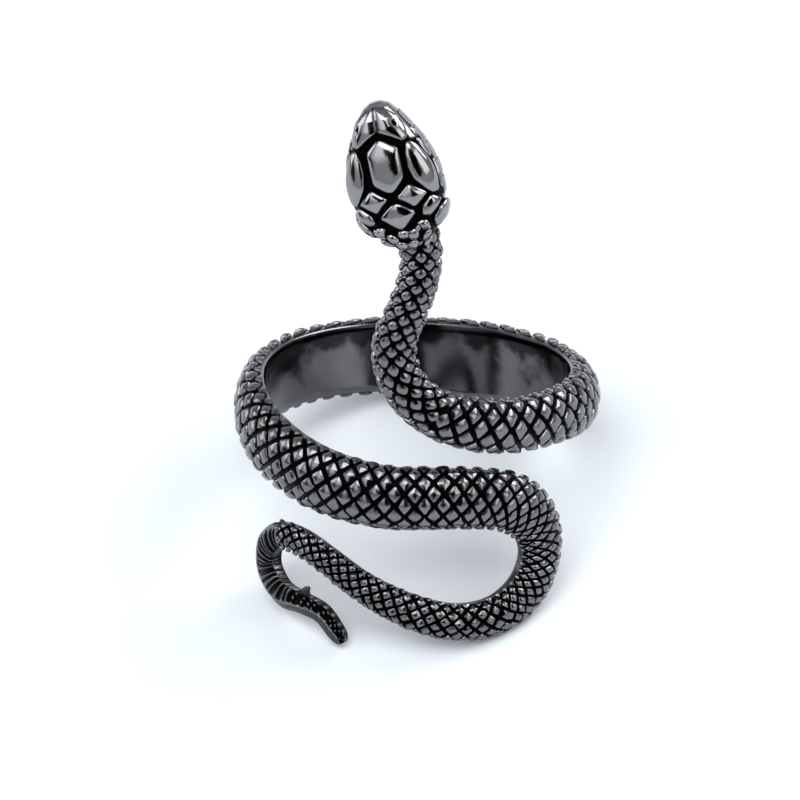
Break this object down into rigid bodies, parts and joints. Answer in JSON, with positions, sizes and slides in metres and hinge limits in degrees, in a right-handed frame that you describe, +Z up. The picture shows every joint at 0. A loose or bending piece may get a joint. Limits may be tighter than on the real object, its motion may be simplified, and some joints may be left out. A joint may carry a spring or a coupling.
{
  "type": "snake ring",
  "caption": "Finger ring cast as a scaled snake that winds once round the finger, with a raised head and a tail that doubles back to a small hook.",
  "frame": {"origin": "on the surface the ring rests on, under the middle of its bounding box", "axes": "+Z up from that surface, -Y towards the snake's head, tail and the viewer, +X to the viewer's right. The finger's axis leans back by 26.6 degrees and to the right by 6 degrees, as the ring rests."},
  "size_m": [0.0216, 0.0242, 0.0309],
  "materials": {
    "black_nickel": "cast zinc alloy plated in polished black nickel, with black oxidised grooves"
  },
  "bodies": {
    "root": {"snake_ring": "black_nickel"}
  },
  "joints": []
}
